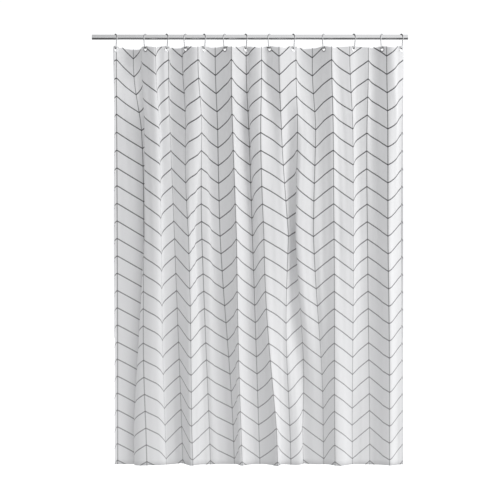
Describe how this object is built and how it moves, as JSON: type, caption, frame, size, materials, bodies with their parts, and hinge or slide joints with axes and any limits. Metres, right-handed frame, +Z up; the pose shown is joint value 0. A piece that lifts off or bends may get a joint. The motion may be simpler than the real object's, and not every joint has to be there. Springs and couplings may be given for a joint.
{
  "type": "shower curtain",
  "caption": "Printed fabric shower curtain hanging in soft folds from open wire hooks on a straight round metal rod.",
  "frame": {"origin": "middle of the rod's axis, where the rod's supports hold it", "axes": "+X along the rod, +Z up, -Y towards the room, the side the curtain is seen from"},
  "size_m": [1.3604, 0.1096, 1.8549],
  "materials": {
    "rod_steel": "polished stainless steel tube",
    "hook_chrome": "bright chromed wire",
    "eyelet_nickel": "nickel-plated pressed metal",
    "cloth": "plain-woven off-white polyester with thin dark grey printed chevrons"
  },
  "bodies": {
    "rod": {"curtain_rod": "rod_steel"},
    "hook_01": {"curtain_hook_01": "hook_chrome"},
    "hook_02": {"curtain_hook_02": "hook_chrome"},
    "hook_03": {"curtain_hook_03": "hook_chrome"},
    "hook_04": {"curtain_hook_04": "hook_chrome"},
    "hook_05": {"curtain_hook_05": "hook_chrome"},
    "hook_06": {"curtain_hook_06": "hook_chrome"},
    "hook_07": {"curtain_hook_07": "hook_chrome"},
    "hook_08": {"curtain_hook_08": "hook_chrome"},
    "hook_09": {"curtain_hook_09": "hook_chrome"},
    "hook_10": {"curtain_hook_10": "hook_chrome"},
    "hook_11": {"curtain_hook_11": "hook_chrome"},
    "hook_12": {"curtain_hook_12": "hook_chrome"},
    "hook_13": {"curtain_hook_13": "hook_chrome"},
    "pleat_01": {"fabric_pleat_01": "cloth", "eyelet_front_01": "eyelet_nickel", "eyelet_back_01": "eyelet_nickel"},
    "pleat_02": {"fabric_pleat_02": "cloth", "eyelet_front_02": "eyelet_nickel", "eyelet_back_02": "eyelet_nickel"},
    "pleat_03": {"fabric_pleat_03": "cloth", "eyelet_front_03": "eyelet_nickel", "eyelet_back_03": "eyelet_nickel"},
    "pleat_04": {"fabric_pleat_04": "cloth", "eyelet_front_04": "eyelet_nickel", "eyelet_back_04": "eyelet_nickel"},
    "pleat_05": {"fabric_pleat_05": "cloth", "eyelet_front_05": "eyelet_nickel", "eyelet_back_05": "eyelet_nickel"},
    "pleat_06": {"fabric_pleat_06": "cloth", "eyelet_front_06": "eyelet_nickel", "eyelet_back_06": "eyelet_nickel"},
    "pleat_07": {"fabric_pleat_07": "cloth", "eyelet_front_07": "eyelet_nickel", "eyelet_back_07": "eyelet_nickel"},
    "pleat_08": {"fabric_pleat_08": "cloth", "eyelet_front_08": "eyelet_nickel", "eyelet_back_08": "eyelet_nickel"},
    "pleat_09": {"fabric_pleat_09": "cloth", "eyelet_front_09": "eyelet_nickel", "eyelet_back_09": "eyelet_nickel"},
    "pleat_10": {"fabric_pleat_10": "cloth", "eyelet_front_10": "eyelet_nickel", "eyelet_back_10": "eyelet_nickel"},
    "pleat_11": {"fabric_pleat_11": "cloth", "eyelet_front_11": "eyelet_nickel", "eyelet_back_11": "eyelet_nickel"},
    "pleat_12": {"fabric_pleat_12": "cloth", "eyelet_front_12": "eyelet_nickel", "eyelet_back_12": "eyelet_nickel"},
    "pleat_13": {"fabric_pleat_13": "cloth", "eyelet_front_13": "eyelet_nickel", "eyelet_back_13": "eyelet_nickel"}
  },
  "joints": [
    {"name": "curtain_swing", "type": "hinge", "parent": "rod", "child": "hook_01", "pos_m": [0, 0, 0], "axis": [1, 0, 0], "range_deg": [-12, 12]},
    {"name": "curtain_draw", "type": "slide", "parent": "hook_01", "child": "hook_13", "axis": [1, 0, 0], "range_m": [-0.82, 0], "deforming": ["fabric_pleat_01", "fabric_pleat_02", "fabric_pleat_03", "fabric_pleat_04", "fabric_pleat_05", "fabric_pleat_06", "fabric_pleat_07", "fabric_pleat_08", "fabric_pleat_09", "fabric_pleat_10", "fabric_pleat_11", "fabric_pleat_12", "fabric_pleat_13"]},
    {"name": "hook_02_slide", "type": "slide", "parent": "hook_01", "child": "hook_02", "axis": [1, 0, 0], "range_m": [-0.0863, 0]},
    {"name": "hook_03_slide", "type": "slide", "parent": "hook_01", "child": "hook_03", "axis": [1, 0, 0], "range_m": [-0.1465, 0]},
    {"name": "hook_04_slide", "type": "slide", "parent": "hook_01", "child": "hook_04", "axis": [1, 0, 0], "range_m": [-0.2014, 0]},
    {"name": "hook_05_slide", "type": "slide", "parent": "hook_01", "child": "hook_05", "axis": [1, 0, 0], "range_m": [-0.2543, 0]},
    {"name": "hook_06_slide", "type": "slide", "parent": "hook_01", "child": "hook_06", "axis": [1, 0, 0], "range_m": [-0.314, 0]},
    {"name": "hook_07_slide", "type": "slide", "parent": "hook_01", "child": "hook_07", "axis": [1, 0, 0], "range_m": [-0.3733, 0]},
    {"name": "hook_08_slide", "type": "slide", "parent": "hook_01", "child": "hook_08", "axis": [1, 0, 0], "range_m": [-0.4424, 0]},
    {"name": "hook_09_slide", "type": "slide", "parent": "hook_01", "child": "hook_09", "axis": [1, 0, 0], "range_m": [-0.51, 0]},
    {"name": "hook_10_slide", "type": "slide", "parent": "hook_01", "child": "hook_10", "axis": [1, 0, 0], "range_m": [-0.5981, 0]},
    {"name": "hook_11_slide", "type": "slide", "parent": "hook_01", "child": "hook_11", "axis": [1, 0, 0], "range_m": [-0.6839, 0]},
    {"name": "hook_12_slide", "type": "slide", "parent": "hook_01", "child": "hook_12", "axis": [1, 0, 0], "range_m": [-0.7652, 0]},
    {"name": "pleat_01_turn", "type": "hinge", "parent": "hook_01", "child": "pleat_01", "pos_m": [-0.5792, 0, -0.0525], "axis": [0, 0, 1], "range_deg": [0, 30.2]},
    {"name": "pleat_02_turn", "type": "hinge", "parent": "hook_02", "child": "pleat_02", "pos_m": [-0.44983, 0, -0.0525], "axis": [0, 0, 1], "range_deg": [-30.2, 0]},
    {"name": "pleat_03_turn", "type": "hinge", "parent": "hook_03", "child": "pleat_03", "pos_m": [-0.35943, 0, -0.0525], "axis": [0, 0, 1], "range_deg": [0, 30.2]},
    {"name": "pleat_04_turn", "type": "hinge", "parent": "hook_04", "child": "pleat_04", "pos_m": [-0.27711, 0, -0.0525], "axis": [0, 0, 1], "range_deg": [-30.2, 0]},
    {"name": "pleat_05_turn", "type": "hinge", "parent": "hook_05", "child": "pleat_05", "pos_m": [-0.19773, 0, -0.0525], "axis": [0, 0, 1], "range_deg": [0, 30.2]},
    {"name": "pleat_06_turn", "type": "hinge", "parent": "hook_06", "child": "pleat_06", "pos_m": [-0.10806, 0, -0.0525], "axis": [0, 0, 1], "range_deg": [-30.2, 0]},
    {"name": "pleat_07_turn", "type": "hinge", "parent": "hook_07", "child": "pleat_07", "pos_m": [-0.01912, 0, -0.0525], "axis": [0, 0, 1], "range_deg": [0, 30.2]},
    {"name": "pleat_08_turn", "type": "hinge", "parent": "hook_08", "child": "pleat_08", "pos_m": [0.08451, 0, -0.0525], "axis": [0, 0, 1], "range_deg": [-30.2, 0]},
    {"name": "pleat_09_turn", "type": "hinge", "parent": "hook_09", "child": "pleat_09", "pos_m": [0.18594, 0, -0.0525], "axis": [0, 0, 1], "range_deg": [0, 30.2]},
    {"name": "pleat_10_turn", "type": "hinge", "parent": "hook_10", "child": "pleat_10", "pos_m": [0.31824, 0, -0.0525], "axis": [0, 0, 1], "range_deg": [-30.2, 0]},
    {"name": "pleat_11_turn", "type": "hinge", "parent": "hook_11", "child": "pleat_11", "pos_m": [0.44686, 0, -0.0525], "axis": [0, 0, 1], "range_deg": [0, 30.2]},
    {"name": "pleat_12_turn", "type": "hinge", "parent": "hook_12", "child": "pleat_12", "pos_m": [0.56887, 0, -0.0525], "axis": [0, 0, 1], "range_deg": [-30.2, 0]},
    {"name": "pleat_13_turn", "type": "hinge", "parent": "hook_13", "child": "pleat_13", "pos_m": [0.65119, 0, -0.0525], "axis": [0, 0, 1], "range_deg": [0, 30.2]}
  ],
  "couplings": [
    {"joint": "hook_02_slide", "follows": "curtain_draw", "ratio": 0.10514},
    {"joint": "hook_03_slide", "follows": "curtain_draw", "ratio": 0.17861},
    {"joint": "hook_04_slide", "follows": "curtain_draw", "ratio": 0.24552},
    {"joint": "hook_05_slide", "follows": "curtain_draw", "ratio": 0.31004},
    {"joint": "hook_06_slide", "follows": "curtain_draw", "ratio": 0.38292},
    {"joint": "hook_07_slide", "follows": "curtain_draw", "ratio": 0.4552},
    {"joint": "hook_08_slide", "follows": "curtain_draw", "ratio": 0.53943},
    {"joint": "hook_09_slide", "follows": "curtain_draw", "ratio": 0.62186},
    {"joint": "hook_10_slide", "follows": "curtain_draw", "ratio": 0.72939},
    {"joint": "hook_11_slide", "follows": "curtain_draw", "ratio": 0.83393},
    {"joint": "hook_12_slide", "follows": "curtain_draw", "ratio": 0.93309},
    {"joint": "pleat_01_turn", "follows": "curtain_draw", "rad_per_m": -0.64237},
    {"joint": "pleat_02_turn", "follows": "curtain_draw", "rad_per_m": 0.64237},
    {"joint": "pleat_03_turn", "follows": "curtain_draw", "rad_per_m": -0.64237},
    {"joint": "pleat_04_turn", "follows": "curtain_draw", "rad_per_m": 0.64237},
    {"joint": "pleat_05_turn", "follows": "curtain_draw", "rad_per_m": -0.64237},
    {"joint": "pleat_06_turn", "follows": "curtain_draw", "rad_per_m": 0.64237},
    {"joint": "pleat_07_turn", "follows": "curtain_draw", "rad_per_m": -0.64237},
    {"joint": "pleat_08_turn", "follows": "curtain_draw", "rad_per_m": 0.64237},
    {"joint": "pleat_09_turn", "follows": "curtain_draw", "rad_per_m": -0.64237},
    {"joint": "pleat_10_turn", "follows": "curtain_draw", "rad_per_m": 0.64237},
    {"joint": "pleat_11_turn", "follows": "curtain_draw", "rad_per_m": -0.64237},
    {"joint": "pleat_12_turn", "follows": "curtain_draw", "rad_per_m": 0.64237},
    {"joint": "pleat_13_turn", "follows": "curtain_draw", "rad_per_m": -0.64237}
  ]
}
